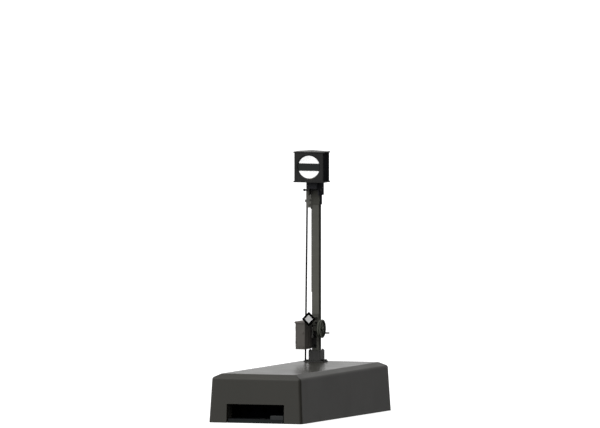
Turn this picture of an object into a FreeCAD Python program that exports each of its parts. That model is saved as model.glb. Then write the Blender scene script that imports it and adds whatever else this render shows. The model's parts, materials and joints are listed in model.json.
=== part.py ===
import FreeCAD, Part
import math
import os

# A small-scale railway shunting signal. A lantern with a turning disc stands on an H-section mast, and the
# mast stands on a flat box that holds a twin coil drive. Millimetres throughout. The origin is the middle
# of the base's underside: +Z is up, the lantern and the cable mouth face -Y, and +X is to the right when
# the lantern is looked at from the front.

# ---- driving dimensions ----

# drive housing
BASE_WIDTH = 31.0
BASE_LENGTH = 79.8
SHOULDER_HEIGHT = 13.95
BASE_HEIGHT = 15.2
SIDE_DRAFT = 0.73
BEVEL_INSET = 2.4
EDGE_ROUND = 0.95
WALL = 1.6
CEILING_HEIGHT = 13.6
CAVITY_DRAFT = 0.7
MOUTH_WIDTH = 19.1
MOUTH_HEIGHT = 5.9

# base plate and what holds it
PLATE_THICKNESS = 1.25
PLATE_GAP = 0.2
TONGUE_WIDTH = 18.3
TONGUE_SETBACK = 0.4
LATCH_WIDTH = 4.3
LATCH_HEIGHT = 1.2
LAYOUT_HOLE_RADIUS = 1.25
LAYOUT_HOLE_SPACING = 69.0
BOSS_RADIUS = 1.5
BOSS_X = 11.2
BOSS_Y = 34.5
CASE_SCREW_RADIUS = 0.8
CASE_SCREW_TOP = 7.0

# solenoid drive
PLUNGER_HEIGHT = 7.5
PLUNGER_RADIUS = 2.0
COIL_LENGTH = 16.0
COIL_RADIUS = 4.9
BOBBIN_SQUARE = 10.6
BOBBIN_FLANGE = 0.6
BOBBIN_BORE = 2.06
BOBBIN_TUBE = 2.6
YOKE_FRONT = -25.0
YOKE_PLATE = 1.0
YOKE_FLOOR = 0.75
YOKE_HALF_WIDTH = 5.5
YOKE_TOP = 12.6
PUSH_ROD_RADIUS = 0.9

# linkage: both cranks swing evenly through their dead centre, so their pins trade the same rod stroke
CRANK_SWING = 45.0
CRANK_RADIUS = 3.0
PLUNGER_ARM_RADIUS = 3.9
ROCKER_SHAFT_RADIUS = 0.75
RUNNING_GAP = 0.05

# mast and its foot
MAST_X = -6.0
MAST_Y = 30.5
MAST_WIDTH = 2.35
MAST_DEPTH = 2.05
MAST_SKIN = 0.35
MAST_TOP = 71.0
FOOT_WIDTH = 6.2
FOOT_DEPTH = 4.4
FOOT_THICKNESS = 0.4
FOOT_BOLT_X = 2.5
FOOT_BOLT_Y = 1.5
SOCKET_WIDTH = 3.9
SOCKET_DEPTH = 4.1
SOCKET_TOP = 18.95

# signal rod, placed relative to the mast
ROD_Y = -0.5
ROD_FOOT_X = -3.49
ROD_FOOT_Z = 16.3
ROD_RADIUS = 0.28
ROD_END_RADIUS = 0.22
WIRE_RADIUS = 0.28
COUPLER_RADIUS = 0.42
GROMMET_BORE = 0.36
ROD_JOIN_Z = 22.4

# lantern, placed relative to the mast
LANTERN_WIDTH = 9.5
LANTERN_FRONT = -7.1
LANTERN_BACK = -1.35
LANTERN_BOTTOM = 71.5
LANTERN_TOP = 81.1
ROOF_RISE = 0.4
RIDGE_LENGTH = 0.6
FLANGE_THICKNESS = 0.4
FLANGE_OVERHANG = 0.28
LANTERN_SKIN = 0.45
DISC_HEIGHT = 76.3
DISC_RADIUS = 3.55
DISC_THICKNESS = 0.35
BAR_HEIGHT = 2.33
WINDOW_RADIUS = 3.95

# neck, telephone box, sign and pulley, placed relative to the mast
NECK_WIDTH = 3.5
NECK_FRONT = -4.45
NECK_BACK = 1.9
NECK_BOTTOM = 69.4
CHEEK_FRONT = -2.75
CHEEK_BOTTOM = 67.25
CHEEK = 0.35
STRAP_BOTTOM = 64.3
STRAP_FRONT = 0.15
STRAP_SIDE = 0.3
CLAMP_Y = -1.65
CLAMP_Z = 68.85
CLAMP_RADIUS = 0.25
PHONE_LEFT = -4.24
PHONE_RIGHT = -1.14
PHONE_FRONT = -7.4
PHONE_BACK = -1.17
PHONE_BOTTOM = 19.4
PHONE_TOP = 28.1
PHONE_LID = 0.6
PHONE_SKIN = 0.45
BRACKET_LEVELS = (19.6, 26.6)
BRACKET_RIGHT = 0.4
GUIDE_LEFT = -2.95
GUIDE_PLATE = 0.35
GUIDE_BOTTOM = 63.35
GUIDE_TOP = 67.2
GUIDE_LOOP = 65.0
GUIDE_TAB = 0.22
SIGN_HALF_DIAGONAL = 2.3
SIGN_FRAME = 0.66
SIGN_X = 0.36
SIGN_Y = -7.9
SIGN_Z = 28.97
PULLEY_Y = -1.75
PULLEY_Z = 25.65
PULLEY_X = 2.25
PULLEY_RADIUS = 2.9
PULLEY_WIDTH = 1.0
PULLEY_WEB = 0.16
PULLEY_SHAFT_RADIUS = 0.3

# ---- worked out from the above ----

HALF_SWING = math.radians(CRANK_SWING / 2)
ROD_STROKE = 2 * CRANK_RADIUS * math.sin(HALF_SWING)
PLUNGER_STROKE = 2 * PLUNGER_ARM_RADIUS * math.sin(HALF_SWING)
PIN_REACH = CRANK_RADIUS * math.cos(HALF_SWING)
SLOT_TRAVEL = CRANK_RADIUS - PIN_REACH
ROCKER_Y = MAST_Y + ROD_Y - PIN_REACH
ROCKER_Z = PLUNGER_HEIGHT - PLUNGER_ARM_RADIUS * math.cos(HALF_SWING)
MAST_BOTTOM = BASE_HEIGHT + FOOT_THICKNESS
LANTERN_MIDDLE_Y = (LANTERN_FRONT + LANTERN_BACK) / 2
ROD_TOP = FreeCAD.Vector(-PIN_REACH, ROD_Y, DISC_HEIGHT + CRANK_RADIUS * math.sin(HALF_SWING))
ROD_FOOT = FreeCAD.Vector(ROD_FOOT_X, ROD_Y, ROD_FOOT_Z)
ROD_DIRECTION = (ROD_TOP - ROD_FOOT).normalize()

AXIS_X = FreeCAD.Vector(1, 0, 0)
AXIS_Y = FreeCAD.Vector(0, 1, 0)
AXIS_Z = FreeCAD.Vector(0, 0, 1)
TO_MAST = FreeCAD.Vector(MAST_X, MAST_Y, 0)
CORNERS = [(-1, -1), (1, -1), (1, 1), (-1, 1)]


# ---- shape helpers ----

def point(x, y, z):
    return FreeCAD.Vector(x, y, z)


def block(x_range, y_range, z_range):
    """A box between two values on each axis."""
    size = [high - low for low, high in (x_range, y_range, z_range)]
    return Part.makeBox(*size, point(x_range[0], y_range[0], z_range[0]))


def centred(half_width, half_depth, z_range, x=0.0, y=0.0):
    """A box centred on x and y."""
    return block((x - half_width, x + half_width), (y - half_depth, y + half_depth), z_range)


def cylinder(start, direction, radius, length):
    return Part.makeCylinder(radius, length, start, direction)


def tube(start, direction, outer, inner, length):
    return cylinder(start, direction, outer, length).cut(cylinder(start, direction, inner, length))


def tapered(low_size, high_size, low, high):
    """A solid between two centred rectangles, one at the low and one at the high level."""
    outlines = []
    for (width, length), level in ((low_size, low), (high_size, high)):
        corners = [point(sx * width / 2, sy * length / 2, level) for sx, sy in CORNERS]
        outlines.append(Part.makePolygon(corners + corners[:1]))
    return Part.makeLoft(outlines, True, True)


def frustum(width, length, low, high, inset):
    """A rectangular block whose four sides lean in by inset from the low to the high level."""
    return tapered((width, length), (width - 2 * inset, length - 2 * inset), low, high)


def hexagon_head(start, direction, radius, height):
    """A hexagonal bolt head that grows from start along direction."""
    placement = FreeCAD.Placement(start, FreeCAD.Rotation(AXIS_Z, direction))
    corners = []
    for step in range(7):
        angle = math.radians(60 * step)
        corners.append(point(radius * math.cos(angle), radius * math.sin(angle), 0))
    head = Part.Face(Part.makePolygon(corners)).extrude(AXIS_Z * height)
    head.Placement = placement
    return head


def bolt(face_point, outward, head_radius, head_height, shank_radius, shank_length):
    """A hexagonal head standing on a face, with its shank going into it."""
    head = hexagon_head(face_point, outward, head_radius, head_height)
    shank = cylinder(face_point - outward * shank_length, outward, shank_radius, shank_length)
    return head.fuse(shank).removeSplitter()


def arm(pivot, tip, direction, thickness, hub_radius, tip_radius, bar_width):
    """A flat lever from pivot to tip, which grows in thickness along direction."""
    along = (tip - pivot).normalize()
    side = along.cross(direction) * (bar_width / 2)
    outline = [pivot + side, tip + side, tip - side, pivot - side, pivot + side]
    bar = Part.Face(Part.makePolygon(outline)).extrude(direction * thickness)
    hub = cylinder(pivot, direction, hub_radius, thickness)
    eye = cylinder(tip, direction, tip_radius, thickness)
    return bar.fuse([hub, eye]).removeSplitter()


def soften(shape, radius, keep):
    """Round the edges that keep(edge) accepts."""
    return shape.makeFillet(radius, [edge for edge in shape.Edges if keep(edge)])


def save(name, *solids):
    """Write one node as a STEP file."""
    shape = solids[0] if len(solids) == 1 else Part.makeCompound(list(solids))
    shape.exportStep(f"parts/{name}.step")


def save_on_mast(name, *solids):
    """Write a node that was drawn with the mast's axis at X = 0 and Y = 0."""
    save(name, *[solid.translated(TO_MAST) for solid in solids])


# ---- drive housing ----

def build_housing():
    lower = frustum(BASE_WIDTH, BASE_LENGTH, 0, SHOULDER_HEIGHT, SIDE_DRAFT)
    shoulder_width = BASE_WIDTH - 2 * SIDE_DRAFT
    shoulder_length = BASE_LENGTH - 2 * SIDE_DRAFT
    bevel = frustum(shoulder_width, shoulder_length, SHOULDER_HEIGHT, BASE_HEIGHT, BEVEL_INSET)
    shell = lower.fuse(bevel).removeSplitter()
    shell = soften(shell, EDGE_ROUND, lambda edge: edge.BoundBox.ZMax > 0.1)
    cavity = frustum(BASE_WIDTH - 2 * WALL, BASE_LENGTH - 2 * WALL, 0, CEILING_HEIGHT, CAVITY_DRAFT)
    mouth = block((-MOUTH_WIDTH / 2, MOUTH_WIDTH / 2), (-BASE_LENGTH, -BASE_LENGTH / 2 + 2 * WALL),
                  (-1, MOUTH_HEIGHT))
    shell = shell.cut([cavity, mouth])
    boss_height = CEILING_HEIGHT - PLATE_THICKNESS + 0.3
    for sx, sy in CORNERS:
        foot = point(sx * BOSS_X, sy * BOSS_Y, PLATE_THICKNESS)
        shell = shell.fuse(cylinder(foot, AXIS_Z, BOSS_RADIUS, boss_height))
        shell = shell.cut(cylinder(foot, AXIS_Z, CASE_SCREW_RADIUS + 0.05, CASE_SCREW_TOP))
    rod_hole = cylinder(point(MAST_X + ROD_FOOT_X, MAST_Y + ROD_Y, CEILING_HEIGHT - 1), AXIS_Z, 0.6, 4)
    bolt_holes = [cylinder(point(MAST_X + sx * FOOT_BOLT_X, MAST_Y + sy * FOOT_BOLT_Y, CEILING_HEIGHT - 1),
                           AXIS_Z, 0.22, 4) for sx, sy in CORNERS]
    save("base_housing", shell.cut([rod_hole] + bolt_holes).removeSplitter())


def build_base_plate():
    half_width = BASE_WIDTH / 2 - WALL - PLATE_GAP
    half_length = BASE_LENGTH / 2 - WALL - PLATE_GAP
    plate = centred(half_width, half_length, (0, PLATE_THICKNESS))
    tongue_front = -BASE_LENGTH / 2 + TONGUE_SETBACK
    tongue = block((-TONGUE_WIDTH / 2, TONGUE_WIDTH / 2), (tongue_front, 0), (0, PLATE_THICKNESS))
    plate = plate.fuse(tongue)
    holes = [cylinder(point(0, side * LAYOUT_HOLE_SPACING / 2, -1), AXIS_Z, LAYOUT_HOLE_RADIUS, 4)
             for side in (-1, 1)]
    screws = []
    for sx, sy in CORNERS:
        foot = point(sx * BOSS_X, sy * BOSS_Y, 0)
        holes.append(cylinder(foot, AXIS_Z, 0.9, 2))
        holes.append(Part.makeCone(1.6, 0.85, 0.75, foot, AXIS_Z))
        head = Part.makeCone(1.5, CASE_SCREW_RADIUS, 0.7, foot + AXIS_Z * 0.1, AXIS_Z)
        slot = centred(1.6, 0.16, (0, 0.35), sx * BOSS_X, sy * BOSS_Y)
        shank = cylinder(foot + AXIS_Z * 0.5, AXIS_Z, CASE_SCREW_RADIUS, CASE_SCREW_TOP - 0.5)
        screws.append(head.fuse(shank).cut(slot).removeSplitter())
    latch_right = TONGUE_WIDTH / 2
    latch = block((latch_right - LATCH_WIDTH, latch_right), (tongue_front + 0.2, tongue_front + 2.4),
                  (PLATE_THICKNESS, PLATE_THICKNESS + LATCH_HEIGHT))
    latch = soften(latch, 0.2, lambda edge: edge.BoundBox.ZMin > PLATE_THICKNESS + 1)
    save("base_plate", plate.cut(holes).fuse(latch).removeSplitter())
    save("base_plate_screws", *screws)


def build_terminals():
    half_width, front, back, top = 8.0, -31.0, -26.5, 6.5
    body = block((-half_width, half_width), (front, back), (PLATE_THICKNESS, top))
    screws = []
    for x in (-5.0, 0.0, 5.0):
        entry = cylinder(point(x, front - 1, 3.6), AXIS_Y, 0.8, 3.2)
        well = cylinder(point(x, front + 2.2, 2.6), AXIS_Z, 1.0, top)
        body = body.cut(entry).cut(well)
        screw = cylinder(point(x, front + 2.2, 4.6), AXIS_Z, 0.9, 1.3)
        screws.append(screw.cut(centred(1.0, 0.15, (5.6, 6.0), x, front + 2.2)))
    save("terminal_block", body)
    save("terminal_screws", *screws)


# ---- solenoid and plunger ----

def yoke_walls():
    """The front faces of the yoke's three upright plates."""
    return [YOKE_FRONT + index * (COIL_LENGTH + YOKE_PLATE) for index in range(3)]


def build_solenoid():
    walls = yoke_walls()
    floor_top = PLATE_THICKNESS + YOKE_FLOOR
    centre_line = point(0, YOKE_FRONT - 1, PLUNGER_HEIGHT)
    yoke = block((-YOKE_HALF_WIDTH, YOKE_HALF_WIDTH), (walls[0], walls[-1] + YOKE_PLATE),
                 (PLATE_THICKNESS, floor_top))
    for front in walls:
        yoke = yoke.fuse(centred(YOKE_HALF_WIDTH, YOKE_PLATE / 2, (floor_top, YOKE_TOP), 0,
                                 front + YOKE_PLATE / 2))
    yoke = yoke.cut(cylinder(centre_line, AXIS_Y, PLUNGER_RADIUS + 0.3, 50)).removeSplitter()
    save("solenoid_yoke", yoke)
    bobbins = []
    windings = []
    for wall in walls[:2]:
        start = wall + YOKE_PLATE
        foot = point(0, start, PLUNGER_HEIGHT)
        body = cylinder(foot, AXIS_Y, BOBBIN_TUBE, COIL_LENGTH)
        for flange_start in (start, start + COIL_LENGTH - BOBBIN_FLANGE):
            half = BOBBIN_SQUARE / 2
            flange = block((-half, half), (flange_start, flange_start + BOBBIN_FLANGE),
                           (PLUNGER_HEIGHT - half, PLUNGER_HEIGHT + half))
            body = body.fuse(flange)
        bobbins.append(body.cut(cylinder(foot, AXIS_Y, BOBBIN_BORE, COIL_LENGTH)).removeSplitter())
        winding_start = foot + AXIS_Y * BOBBIN_FLANGE
        winding_length = COIL_LENGTH - 2 * BOBBIN_FLANGE
        windings.append(tube(winding_start, AXIS_Y, COIL_RADIUS, BOBBIN_TUBE + 0.05, winding_length))
    save("coil_bobbins", *bobbins)
    save("coil_windings", *windings)


def build_plunger():
    """Iron core, brass push rod and the forked head that holds the rocker's pin."""
    core_start = YOKE_FRONT + 3
    core_length = 24.0
    save("plunger_core", cylinder(point(0, core_start, PLUNGER_HEIGHT), AXIS_Y, PLUNGER_RADIUS, core_length))
    pin_y = ROCKER_Y - PLUNGER_ARM_RADIUS * math.sin(HALF_SWING)
    head_front = pin_y - 2.6
    rod_length = head_front - core_start - core_length
    rod_start = point(0, core_start + core_length, PLUNGER_HEIGHT)
    save("push_rod", cylinder(rod_start, AXIS_Y, PUSH_ROD_RADIUS, rod_length))
    head = block((-1.9, 1.9), (head_front, pin_y + 1.3), (PLUNGER_HEIGHT - 1.7, PLUNGER_HEIGHT + 1.9))
    fork_gap = block((-0.75, 0.75), (pin_y - 1.9, pin_y + 2), (0, 20))
    slot_half = 0.6 + RUNNING_GAP
    arm_rise = PLUNGER_ARM_RADIUS * (1 - math.cos(HALF_SWING))
    slot = block((-3, 3), (pin_y - slot_half, pin_y + slot_half),
                 (PLUNGER_HEIGHT - slot_half, PLUNGER_HEIGHT + slot_half + arm_rise))
    save("driver_head", head.cut([fork_gap, slot]))


# ---- rocker under the signal rod ----

def build_rocker():
    bracket_low, bracket_high = -7.6, 3.8
    ear = 0.8
    bracket = block((bracket_low, bracket_high), (ROCKER_Y - 1.8, ROCKER_Y + 1.8),
                    (PLATE_THICKNESS, PLATE_THICKNESS + 0.6))
    for ear_start in (bracket_low, bracket_high - ear):
        bracket = bracket.fuse(block((ear_start, ear_start + ear), (ROCKER_Y - 1.8, ROCKER_Y + 1.8),
                                     (PLATE_THICKNESS, ROCKER_Z + 1.7)))
    shaft_start = point(-9.2, ROCKER_Y, ROCKER_Z)
    shaft_length = 13.8
    bore = cylinder(shaft_start, AXIS_X, ROCKER_SHAFT_RADIUS + RUNNING_GAP, shaft_length)
    screw_places = [point(x, ROCKER_Y, PLATE_THICKNESS + 0.6) for x in (-5.6, 2.0)]
    screw_holes = [cylinder(place - AXIS_Z * 2, AXIS_Z, 0.45, 3) for place in screw_places]
    save("rocker_bracket", bracket.cut([bore] + screw_holes).removeSplitter())
    screws = []
    for place in screw_places:
        head = cylinder(place, AXIS_Z, 0.8, 0.5)
        screws.append(head.fuse(cylinder(place - AXIS_Z * 0.6, AXIS_Z, 0.4, 0.6)))
    save("bracket_screws", *screws)
    save("rocker_shaft", cylinder(shaft_start, AXIS_X, ROCKER_SHAFT_RADIUS, shaft_length))

    bore = cylinder(shaft_start - AXIS_X, AXIS_X, ROCKER_SHAFT_RADIUS + 0.02, shaft_length + 2)
    pivot = point(-0.6, ROCKER_Y, ROCKER_Z)
    tip = pivot + point(0, -math.sin(HALF_SWING), math.cos(HALF_SWING)) * PLUNGER_ARM_RADIUS
    lever = arm(pivot, tip, AXIS_X, 1.2, 1.45, 0.95, 1.3).cut(bore)
    pin = cylinder(point(-1.9, tip.y, tip.z), AXIS_X, 0.6, 3.8)
    save("plunger_arm", lever.fuse(pin).removeSplitter())

    pivot = point(-9.2, ROCKER_Y, ROCKER_Z)
    tip = pivot + point(0, math.cos(HALF_SWING), math.sin(HALF_SWING)) * CRANK_RADIUS
    lever = arm(pivot, tip, AXIS_X, 0.7, 1.4, 0.7, 1.1).cut(bore)
    pin = cylinder(point(-10.15, tip.y, tip.z), AXIS_X, 0.35, 1.0)
    save("rod_arm", lever.fuse(pin).removeSplitter())


def build_switch():
    """End switch: an insulating board on the base plate with three leaf contacts."""
    board = block((8.0, 8.8), (2.0, 22.0), (PLATE_THICKNESS, 11.0))
    foot = block((8.8, 11.5), (2.0, 22.0), (PLATE_THICKNESS, PLATE_THICKNESS + 0.8))
    save("switch_board", board.fuse(foot).removeSplitter())
    leaves = []
    for height in (4.0, 6.6, 9.2):
        leaf = block((7.75, 8.0), (4.0, 20.0), (height, height + 1.2))
        finger = block((6.6, 7.75), (19.75, 20.0), (height, height + 1.2))
        leaves.append(leaf.fuse(finger).removeSplitter())
    save("contact_springs", *leaves)


# ---- signal rod ----

def rod_point(height):
    """The point of the rod's axis at a height, relative to the mast."""
    return ROD_FOOT + ROD_DIRECTION * ((height - ROD_FOOT_Z) / ROD_DIRECTION.z)


def rod_piece(low, high, radius):
    start, end = rod_point(low), rod_point(high)
    return cylinder(start, ROD_DIRECTION, radius, (end - start).Length)


def build_signal_rod():
    join_half = 0.8
    bottom_pin_z = ROCKER_Z + CRANK_RADIUS * math.sin(HALF_SWING)
    eye_top = bottom_pin_z + 2.6
    top_eye_low = ROD_TOP.z - 1.7
    rod = rod_piece(ROD_JOIN_Z, top_eye_low - 0.05, ROD_RADIUS)
    rod_end = rod_piece(ROD_JOIN_Z, ROD_TOP.z - 0.7, ROD_END_RADIUS)
    save_on_mast("signal_rod", rod.fuse(rod_end).removeSplitter())
    save_on_mast("drive_wire", rod_piece(bottom_pin_z + 1.0, ROD_JOIN_Z, WIRE_RADIUS))
    coupler = rod_piece(ROD_JOIN_Z - join_half, ROD_JOIN_Z + join_half, COUPLER_RADIUS)
    save_on_mast("rod_coupler", coupler.cut(rod_piece(ROD_JOIN_Z - 2, ROD_JOIN_Z + 2, ROD_RADIUS + 0.02)))

    slot_half = 0.35 + RUNNING_GAP
    foot_x = rod_point(bottom_pin_z).x
    eye = centred(0.4, 1.0, (bottom_pin_z - 0.8, eye_top), foot_x, ROD_Y + 0.1)
    slot = block((foot_x - 2, foot_x + 2), (ROD_Y - slot_half, ROD_Y + slot_half + SLOT_TRAVEL),
                 (bottom_pin_z - slot_half, bottom_pin_z + slot_half))
    seat = rod_piece(bottom_pin_z + 0.95, eye_top + 1, WIRE_RADIUS + 0.02)
    save_on_mast("rod_bottom_eye", eye.cut([slot, seat]))

    slot_half = 0.22 + RUNNING_GAP
    eye = block((ROD_TOP.x - SLOT_TRAVEL - 0.65, ROD_TOP.x + 0.65), (ROD_Y - 0.37, ROD_Y + 0.37),
                (top_eye_low, ROD_TOP.z + 0.65))
    slot = block((ROD_TOP.x - SLOT_TRAVEL - slot_half, ROD_TOP.x + slot_half), (ROD_Y - 1, ROD_Y + 1),
                 (ROD_TOP.z - slot_half, ROD_TOP.z + slot_half))
    seat = rod_piece(top_eye_low - 1, ROD_TOP.z - 0.65, ROD_END_RADIUS + 0.02)
    save_on_mast("rod_top_eye", eye.cut([slot, seat]))

    place = point(ROD_FOOT_X, ROD_Y, CEILING_HEIGHT)
    grommet = tube(place, AXIS_Z, 0.58, GROMMET_BORE, BASE_HEIGHT - CEILING_HEIGHT)
    collar = tube(place + AXIS_Z * (BASE_HEIGHT - CEILING_HEIGHT), AXIS_Z, 0.62, GROMMET_BORE, 0.25)
    save_on_mast("rod_grommet", grommet.fuse(collar).removeSplitter())


# ---- mast ----

def build_mast():
    half_width, half_depth = MAST_WIDTH / 2, MAST_DEPTH / 2
    beam = centred(half_width, half_depth, (MAST_BOTTOM, MAST_TOP))
    for side in (-1, 1):
        inner, outer = MAST_SKIN / 2, half_width
        recess = centred((outer - inner) / 2, half_depth - MAST_SKIN, (MAST_BOTTOM, MAST_TOP),
                         side * (inner + outer) / 2)
        beam = beam.cut(recess)
    save_on_mast("mast", beam.removeSplitter())

    foot = centred(FOOT_WIDTH / 2, FOOT_DEPTH / 2, (BASE_HEIGHT, MAST_BOTTOM))
    foot = soften(foot, 0.5, lambda edge: edge.BoundBox.ZLength > 0.3)
    rod_notch = cylinder(point(ROD_FOOT_X, ROD_Y, BASE_HEIGHT - 1), AXIS_Z, 0.7, 3)
    holes = [cylinder(point(sx * FOOT_BOLT_X, sy * FOOT_BOLT_Y, BASE_HEIGHT - 1), AXIS_Z, 0.22, 3)
             for sx, sy in CORNERS]
    save_on_mast("mast_foot", foot.cut([rod_notch] + holes))
    save_on_mast("foot_bolts", *[bolt(point(sx * FOOT_BOLT_X, sy * FOOT_BOLT_Y, MAST_BOTTOM), AXIS_Z,
                                      0.42, 0.38, 0.2, 1.6) for sx, sy in CORNERS])

    socket = centred(SOCKET_WIDTH / 2, SOCKET_DEPTH / 2, (MAST_BOTTOM, SOCKET_TOP))
    socket = soften(socket, 0.15, lambda edge: edge.BoundBox.ZMax > SOCKET_TOP - 0.01)
    pocket = centred(half_width, half_depth, (MAST_BOTTOM, SOCKET_TOP))
    save_on_mast("mast_socket", socket.cut(pocket))
    save_on_mast("lamp_conduit", block((-half_width - 0.25, -half_width), (-0.85, -0.5),
                                       (37.0, GUIDE_BOTTOM - 0.7)))


def build_neck():
    """Hollow neck under the lantern, with two cheeks for the clamp bolt and a strap round the mast's top."""
    half_width = NECK_WIDTH / 2
    mast_side, mast_face = MAST_WIDTH / 2, -MAST_DEPTH / 2
    neck = block((-half_width, half_width), (NECK_FRONT, NECK_BACK), (NECK_BOTTOM, LANTERN_BOTTOM))
    for inner in (-half_width, half_width - CHEEK):
        neck = neck.fuse(block((inner, inner + CHEEK), (CHEEK_FRONT, NECK_BACK), (CHEEK_BOTTOM, NECK_BOTTOM)))
    strap_side = block((mast_side, mast_side + STRAP_SIDE), (mast_face - STRAP_FRONT, -mast_face),
                       (STRAP_BOTTOM, NECK_BOTTOM))
    strap_front = block((0.05 - mast_side, mast_side), (mast_face - STRAP_FRONT, mast_face),
                        (STRAP_BOTTOM, NECK_BOTTOM))
    pocket = centred(mast_side, -mast_face, (NECK_BOTTOM, MAST_TOP))
    bolt_start = point(-3.6, CLAMP_Y, CLAMP_Z)
    hole = cylinder(bolt_start, AXIS_X, CLAMP_RADIUS + 0.02, 8)
    save_on_mast("neck_bracket", neck.fuse([strap_side, strap_front]).cut([pocket, hole]).removeSplitter())
    shank = cylinder(bolt_start, AXIS_X, CLAMP_RADIUS, half_width - bolt_start.x)
    head = cylinder(point(half_width, CLAMP_Y, CLAMP_Z), AXIS_X, 0.5, 0.42)
    head = soften(head, 0.18, lambda edge: edge.BoundBox.XMin > half_width + 0.4)
    save_on_mast("clamp_bolt", shank.fuse(head).removeSplitter())
    knob = tube(bolt_start - AXIS_X * 0.12, AXIS_X, 0.4, CLAMP_RADIUS + 0.02, 0.65)
    save_on_mast("clamp_knob", knob)


def build_rod_guide():
    """Plate beside the mast with a loop behind it for the signal rod, and a tab along the mast's side."""
    side, face = -MAST_WIDTH / 2, -MAST_DEPTH / 2
    plate = block((GUIDE_LEFT, side), (face - GUIDE_PLATE, face), (GUIDE_BOTTOM, GUIDE_TOP))
    upright = block((GUIDE_LEFT, -NECK_WIDTH / 2 - 0.05), (face - GUIDE_PLATE, face),
                    (GUIDE_TOP, GUIDE_TOP + 1.9))
    tab = block((side - GUIDE_TAB, side), (face, -face), (GUIDE_BOTTOM - 0.6, GUIDE_TOP))
    at_rod = rod_point(GUIDE_LOOP)
    loop = block((at_rod.x - 0.55, at_rod.x + 0.55), (face, ROD_Y + 0.57), (GUIDE_LOOP, GUIDE_LOOP + 0.8))
    bore = rod_piece(GUIDE_LOOP - 1, GUIDE_LOOP + 2, ROD_RADIUS + RUNNING_GAP)
    save_on_mast("rod_guide", plate.fuse([upright, tab, loop]).cut(bore).removeSplitter())


def build_mast_bolts():
    """The small bolts of the socket, the telephone box's bracket, the sign's foot and the rod guide."""
    forward, leftward = point(0, -1, 0), point(-1, 0, 0)
    mast_side, mast_face = -MAST_WIDTH / 2, -MAST_DEPTH / 2
    places = [(point(side * 1.5, side * 1.5, SOCKET_TOP), AXIS_Z) for side in (-1, 1)]
    places += [(point(0, PHONE_BACK, height), forward) for height in (20.4, 23.2)]
    places += [(point(-1.75, mast_face - GUIDE_PLATE, height), forward) for height in (64.3, 65.8)]
    places.append((point(mast_side - GUIDE_TAB, ROD_Y, GUIDE_BOTTOM - 0.15), leftward))
    places.append((point(SIGN_X, mast_face - 0.3, 27.5), forward))
    save_on_mast("mast_bolts", *[hexagon_head(place, outward, 0.33, 0.3) for place, outward in places])


# ---- lantern ----

def build_lantern():
    half_width = LANTERN_WIDTH / 2
    depth = LANTERN_BACK - LANTERN_FRONT
    panel = 0.5
    cover = 0.4
    wall_low, wall_high = LANTERN_BOTTOM + FLANGE_THICKNESS, LANTERN_TOP - FLANGE_THICKNESS
    body_front, body_back = LANTERN_FRONT + panel, LANTERN_BACK - cover
    flange_x, flange_y = half_width + FLANGE_OVERHANG, depth / 2 + FLANGE_OVERHANG / 2

    floor = centred(flange_x, flange_y, (LANTERN_BOTTOM, wall_low), 0, LANTERN_MIDDLE_Y)
    save_on_mast("lantern_floor", floor)
    roof = centred(flange_x, flange_y, (wall_high, LANTERN_TOP), 0, LANTERN_MIDDLE_Y)
    hip = tapered((LANTERN_WIDTH, depth), (RIDGE_LENGTH, RIDGE_LENGTH), LANTERN_TOP, LANTERN_TOP + ROOF_RISE)
    save_on_mast("lantern_roof", roof.fuse(hip.translated(point(0, LANTERN_MIDDLE_Y, 0))).removeSplitter())

    body = block((-half_width, half_width), (body_front, body_back), (wall_low, wall_high))
    body = body.cut(centred(half_width - LANTERN_SKIN, depth, (wall_low, wall_high), 0, LANTERN_MIDDLE_Y))
    for side in (-1, 1):
        for rib_y in (-5.4, -3.2):
            body = body.fuse(centred(0.06, 0.18, (wall_low, wall_high), side * (half_width + 0.06), rib_y))
    save_on_mast("lantern_housing", *body.removeSplitter().Solids)

    window = cylinder(point(0, LANTERN_FRONT - 1, DISC_HEIGHT), AXIS_Y, WINDOW_RADIUS, 3)
    front = block((-half_width, half_width), (LANTERN_FRONT, body_front), (wall_low, wall_high)).cut(window)
    save_on_mast("lantern_front", front)
    rim_start = point(0, LANTERN_FRONT + 0.12, DISC_HEIGHT)
    save_on_mast("lantern_rim", tube(rim_start, AXIS_Y, WINDOW_RADIUS - 0.02, DISC_RADIUS + 0.1, 0.5))

    back = block((-half_width, half_width), (body_back, LANTERN_BACK), (wall_low, wall_high))
    bush_hole = cylinder(point(0, body_back - 1, DISC_HEIGHT), AXIS_Y, 0.9, 3)
    save_on_mast("lantern_back", back.cut(bush_hole))
    bush = tube(point(0, body_back - 0.3, DISC_HEIGHT), AXIS_Y, 0.88, 0.5 + RUNNING_GAP, cover + 0.38)
    save_on_mast("shaft_bush", bush)
    middle_z = (wall_low + wall_high) / 2
    save_on_mast("back_cover_screws", *[hexagon_head(
        point(sx * (half_width - 0.7), LANTERN_BACK, middle_z + sz * 3.6), AXIS_Y, 0.35, 0.2)
        for sx, sz in CORNERS])

    lamp_y = LANTERN_MIDDLE_Y
    save_on_mast("lamp_holder", cylinder(point(0, lamp_y, wall_low), AXIS_Z, 1.3, 0.9))
    bulb_foot = point(0, lamp_y, wall_low + 0.9)
    bulb = cylinder(bulb_foot, AXIS_Z, 0.95, 1.3).fuse(Part.makeSphere(0.95, bulb_foot + AXIS_Z * 1.3))
    save_on_mast("lamp_bulb", bulb.removeSplitter())


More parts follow.
